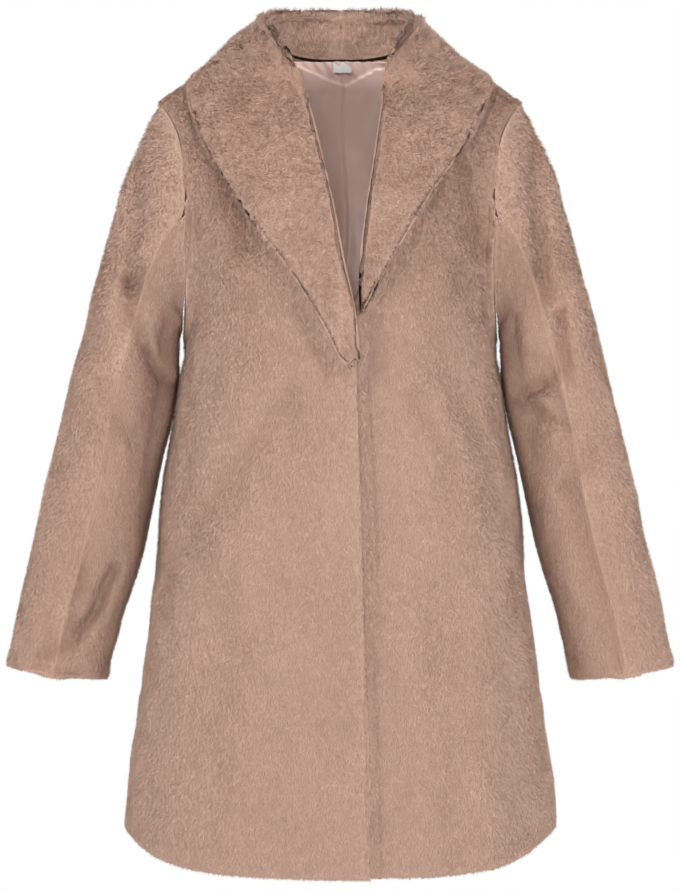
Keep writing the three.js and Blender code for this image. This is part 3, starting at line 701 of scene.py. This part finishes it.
# How wide the patterns in the pile are
WAVE = 0.030  # broad waves in its nap
LOCK = 0.012  # locks that stand up more or less
TUFT = 0.0045  # tufts that lie their own way
CLUMP = 0.0042  # hairs whose tips are drawn together
SPECK = 0.0034  # light and dark specks


def grow_pile(node, shell, count, lay, seed, width=1.0):
    """Hairs over a shell's outside, each a narrow blade rooted on the backing and laid along the nap."""
    rng = np.random.default_rng(seed)
    mesh = shell.data
    mesh.calc_loop_triangles()
    tri = read(mesh.loop_triangles, "vertices", 3, np.int32)
    face = read(mesh.loop_triangles, "polygon_index", kind=np.int32)
    grows = read(mesh.attributes["grows"].data, "value")
    co = coordinates(mesh)
    outside = read(mesh.attributes["outside"].data, "value")
    normals = read(mesh.attributes["custom_normal"].data, "vector", 3)
    a, b, c = co[tri[:, 0]], co[tri[:, 1]], co[tri[:, 2]]
    cross = np.cross(b - a, c - a)
    area = np.linalg.norm(cross, axis=1) / 2
    facing = unit(cross)
    way, gap, _ = neighbour((a + b + c) / 3, node)
    hidden = (gap < TOUCH) & ((facing * way).sum(1) > TOUCH_FACES)
    dense = LIGHT_HAIRS + (1 - LIGHT_HAIRS) * smoothstep(0.3, -0.1, facing[:, 1])
    weight = area * grows[face] * outside[tri].mean(1) * dense
    weight[hidden] = 0
    chance = np.cumsum(weight)
    # Evenly spread picks, jittered, so that there are no bald spots
    at = (np.arange(count) + rng.random(count)) / count * chance[-1]
    pick = np.minimum(np.searchsorted(chance, at), len(tri) - 1)
    u, v = rng.random(count), rng.random(count)
    over = u + v > 1
    u[over], v[over] = 1 - u[over], 1 - v[over]
    bary = np.stack([1 - u - v, u, v], 1)[:, :, None]
    root = (co[tri[pick]] * bary).sum(1)
    n = unit((normals[tri[pick]] * bary).sum(1))
    rim_at = near_rim(co, node)
    rim = (rim_at[tri[pick]][:, :, None] * bary).sum(1)[:, 0]
    rough = ruffle_at(root, node) * (1 - 0.45 * rim)
    nap = lay(root, n) + 0.3 * noise_vectors(root, WAVE, seed + 40)
    astray = 0.42 * noise_vectors(root, TUFT, seed + 50) + 0.30 * rng.normal(size=(count, 3))
    nap = nap + rough[:, None] * astray
    nap = unit(nap - n * (nap * n).sum(1)[:, None])
    lean = LEAN - 8 * (rough - 1) + rough * (6 * noise(root, LOCK, seed + 60) + 8 * rng.normal(size=count))
    lean = np.radians(lean)
    direction = n * np.cos(lean)[:, None] + nap * np.sin(lean)[:, None]
    pull = noise_vectors(root, CLUMP, seed + 70) + 0.5 * noise_vectors(root, CLUMP / 2, seed + 80)
    pull -= n * (pull * n).sum(1)[:, None]
    length = HAIR * (0.78 + 0.36 * rng.random(count)) * (0.85 + 0.15 * rough) * (1 - 0.36 * rim)
    tip = root + direction * length[:, None] + pull * (PULL * rough[:, None])
    side = unit(np.cross(direction, n) + 0.35 * rng.normal(size=(count, 3)))
    half = (width * MM / 2) * (0.7 + 0.6 * rng.random(count))
    base = root - n * BURIED
    verts = np.stack([base - side * half[:, None], base + side * half[:, None], tip], 1)
    blade = np.cross(verts[:, 1] - verts[:, 0], verts[:, 2] - verts[:, 0])
    flip = (blade * n).sum(1) < 0
    verts[flip] = verts[flip][:, [1, 0, 2]]
    speck = 0.52 * noise(root, SPECK, seed + 95) + 0.30 * rng.normal(size=count)
    tone = on_scale(tone_and_painted_light_at(root, node) + rough * speck)
    # Ruffled pile shows more of its hairs' dark roots
    base_along = np.clip(0.60 - 0.46 * rough, 0, 1)
    along = np.stack([base_along, base_along, np.ones(count)], 1).ravel()
    fur = bpy.data.meshes.new("pile_" + node)
    fur.vertices.add(count * 3)
    fur.vertices.foreach_set("co", verts.astype(np.float32).ravel())
    fur.loops.add(count * 3)
    fur.loops.foreach_set("vertex_index", np.arange(count * 3, dtype=np.int32))
    fur.polygons.add(count)
    fur.polygons.foreach_set("loop_start", np.arange(0, count * 3, 3, dtype=np.int32))
    fur.update(calc_edges=True)
    write(fur, "along", along)
    write(fur, "tone", np.repeat(tone, 3))
    soft = unit(n + 0.18 * direction + 0.11 * rough[:, None] * rng.normal(size=(count, 3)))
    write(fur, "custom_normal", np.repeat(soft, 3, axis=0))
    obj = add_object("pile_" + node, fur)
    finish_piece(obj, FUR, "fur")
    return obj


def collar_underside(co, n):
    """1, but 0 where the collar's front parts face back, on to the coat or into their own fold."""
    front = co[:, 1] < -0.02
    return np.where(front, smoothstep(0.8, 0.45, n[:, 1]), 1.0)


hair_share = 1.0
cloth, piles = {}, {}


def add_cloth(node, hairs, lay, seed, middle=None, levels=2, underside=None, width=1.0):
    cloth[node] = make_backing(node, middle, levels, underside)
    piles[node] = grow_pile(node, cloth[node], int(hairs * hair_share), lay, seed, width)


add_cloth("back", 112_000, down_the_cloth, 1, body_middle, levels=1, width=1.65)
for k, side in enumerate(("right", "left")):
    add_cloth("front_" + side, 150_000, down_the_cloth, 100 + k, body_middle)
    for j, half in enumerate(("top", "under")):
        seed = 200 + 10 * k + j
        add_cloth(f"sleeve_{side}_{half}", 54_000, down_the_arm, seed, sleeve_middle, width=1.1)
    add_cloth("collar_" + side, 78_000, down_the_collar, 300 + k, underside=collar_underside)


# The lining

def make_lining(name, node, levels):
    obj = smooth_shell(name, node, levels)
    finish_piece(obj, SATIN, "lining", node)
    return obj


lining_back = make_lining("satin_back", "lining_back", 2)
lining_fronts = {
    side: make_lining("satin_front_" + side, "lining_front_" + side, 1) for side in ("right", "left")
}


def fold_lining(obj):
    """The back lining's folds where it shows: a pleat down its centre, and a swag and gathers at the neck."""
    half_width, lowest = 0.075, -0.33
    bm = bmesh.new()
    bm.from_mesh(obj.data)
    seen = {v for v in bm.verts if abs(v.co.x) < half_width and v.co.z > lowest and v.normal.y < 0}
    edges = [e for e in bm.edges if all(v in seen for v in e.verts)]
    bmesh.ops.subdivide_edges(bm, edges=edges, cuts=3, use_grid_fill=True, smooth=0.3)
    bm.to_mesh(obj.data)
    bm.free()
    co, n = coordinates(obj.data), read(obj.data.vertex_normals, "vector", 3)
    x, z = co[:, 0], co[:, 2]
    inner = smoothstep(0.1, 0.4, -n[:, 1]) * smoothstep(half_width, 0.05, np.abs(x))
    inner = inner * smoothstep(lowest, -0.28, z)
    # The centre pleat, whose one side stands over the other
    line = 0.0035 + 0.003 * np.sin(z * 31)
    pleat = 0.0045 * (smoothstep(-0.014, 0.0, x - line) - smoothstep(0.0, 0.0035, x - line))
    pleat *= smoothstep(0.0, -0.03, z)
    # The swag under the neck: a fold that hangs in a V
    swag_z = np.interp(x, [-0.043, 0.005, 0.038], [0.004, -0.014, 0.002])
    below = z - swag_z
    swag = 0.0035 * smoothstep(0.001, -0.003, below) * smoothstep(-0.05, -0.01, below)
    gathers = 0.0016 * np.sin(x * 560 + 6 * np.sin(z * 70)) * smoothstep(-0.006, 0.004, below)
    soft = 0.0022 * noise(co * np.array([1, 1, 0.22]), 0.018, 5)
    soft = soft + 0.0012 * noise(co * np.array([1, 1, 0.3]), 0.009, 6)
    co[:, 1] -= inner * (0.003 + pleat + swag + gathers + soft)
    set_coordinates(obj.data, co)
    obj.data.shade_smooth()


fold_lining(lining_back)


# The label, which is blank

def make_label():
    """A thin closed tape, which curls forward a little."""
    low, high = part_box("label")
    bm = bmesh.new()
    columns, rows = 20, 10
    thick = 0.0005
    grids = []
    for y_off in (0, thick):
        grid = []
        for r in range(rows + 1):
            row = []
            for c in range(columns + 1):
                u, v = c / columns, r / rows
                x = low.x + (high.x - low.x) * u
                z = low.z + (high.z - low.z) * v
                curl = 0.0012 * math.sin(math.pi * u) + 0.0006 * math.sin(5 * u + 2 * v)
                row.append(bm.verts.new((x, low.y - 0.001 - curl + y_off, z)))
            grid.append(row)
        grids.append(grid)
    for grid, back_side in zip(grids, (False, True)):
        for r in range(rows):
            for c in range(columns):
                quad = [grid[r][c], grid[r][c + 1], grid[r + 1][c + 1], grid[r + 1][c]]
                bm.faces.new(quad[::-1] if back_side else quad)
    front, rear = grids
    edge = (
        [(0, c) for c in range(columns)] + [(r, columns) for r in range(rows)]
        + [(rows, c) for c in range(columns, 0, -1)] + [(r, 0) for r in range(rows, 0, -1)]
    )
    for (r0, c0), (r1, c1) in zip(edge, edge[1:] + edge[:1]):
        bm.faces.new([front[r1][c1], front[r0][c0], rear[r0][c0], rear[r1][c1]])
    bmesh.ops.recalc_face_normals(bm, faces=bm.faces)
    mesh = bpy.data.meshes.new("neck_label")
    bm.to_mesh(mesh)
    bm.free()
    obj = add_object("neck_label", mesh)
    obj.data.shade_smooth()
    finish_piece(obj, TAPE, "label", "label")
    return obj


label = make_label()


# Floor, light and camera

FLOOR_Z = -1.43
WORLD_LIGHT = 0.46  # how brightly the white room lights the coat
CAMERA_AWAY, CAMERA_Z = 3.0, -0.399
HALF_VIEW = 0.4683  # half of what the picture shows from top to bottom, over the coat's middle

# Name, place, what it points at, size in metres and power in watts
LIGHTS = [
    ("left", (-2.5, -2.1, 0.9), (0, 0, -0.40), 1.6, 82),
    ("right", (2.6, -2.1, 0.6), (0, 0, -0.45), 1.6, 77),
    ("front", (-0.2, -3.6, 0.5), (0, 0, -0.35), 1.2, 42),
    ("rear", (0.8, 2.8, 1.0), (0, 0, -0.4), 1.8, 70),
]


def make_floor():
    mesh = bpy.data.meshes.new("floor")
    bm = bmesh.new()
    bmesh.ops.create_circle(bm, cap_ends=True, segments=96, radius=2.2)
    bm.to_mesh(mesh)
    bm.free()
    floor = add_object("floor", mesh)
    floor.location = (0, 0, FLOOR_Z)
    m = Nodes("floor_pale")
    floor.data.materials.append(m.surface((0.86, 0.86, 0.85), 0.9))


def add_area_light(name, place, target, size, power):
    light = bpy.data.lights.new(name, "AREA")
    light.shape = "DISK"
    light.size = size
    light.energy = power
    obj = add_object(name, light)
    obj.location = place
    obj.rotation_euler = (Vector(target) - Vector(place)).to_track_quat("-Z", "Y").to_euler()


def light_world():
    """The room is white to look at, and lights the coat less than it shows."""
    world = bpy.data.worlds.new("studio")
    bpy.context.scene.world = world
    world.use_nodes = True
    nodes, links = world.node_tree.nodes, world.node_tree.links
    background = nodes["Background"]
    background.inputs["Color"].default_value = (1, 1, 1, 1)
    light_path = nodes.new("ShaderNodeLightPath")
    level = nodes.new("ShaderNodeMapRange")
    level.inputs["To Min"].default_value = WORLD_LIGHT
    level.inputs["To Max"].default_value = 1.0
    links.new(light_path.outputs["Is Camera Ray"], level.inputs["Value"])
    links.new(level.outputs["Result"], background.inputs["Strength"])


make_floor()
for light in LIGHTS:
    add_area_light(*light)
light_world()

camera_data = bpy.data.cameras.new("camera")
camera_data.sensor_fit = "VERTICAL"
camera_data.angle_y = 2 * math.atan(HALF_VIEW / CAMERA_AWAY)
camera_data.clip_end = 20
camera = add_object("camera", camera_data)
camera.location = (0, -CAMERA_AWAY, CAMERA_Z)
camera.rotation_euler = (math.radians(90), 0, 0)
bpy.context.scene.camera = camera
bpy.context.scene.view_settings.view_transform = "Standard"
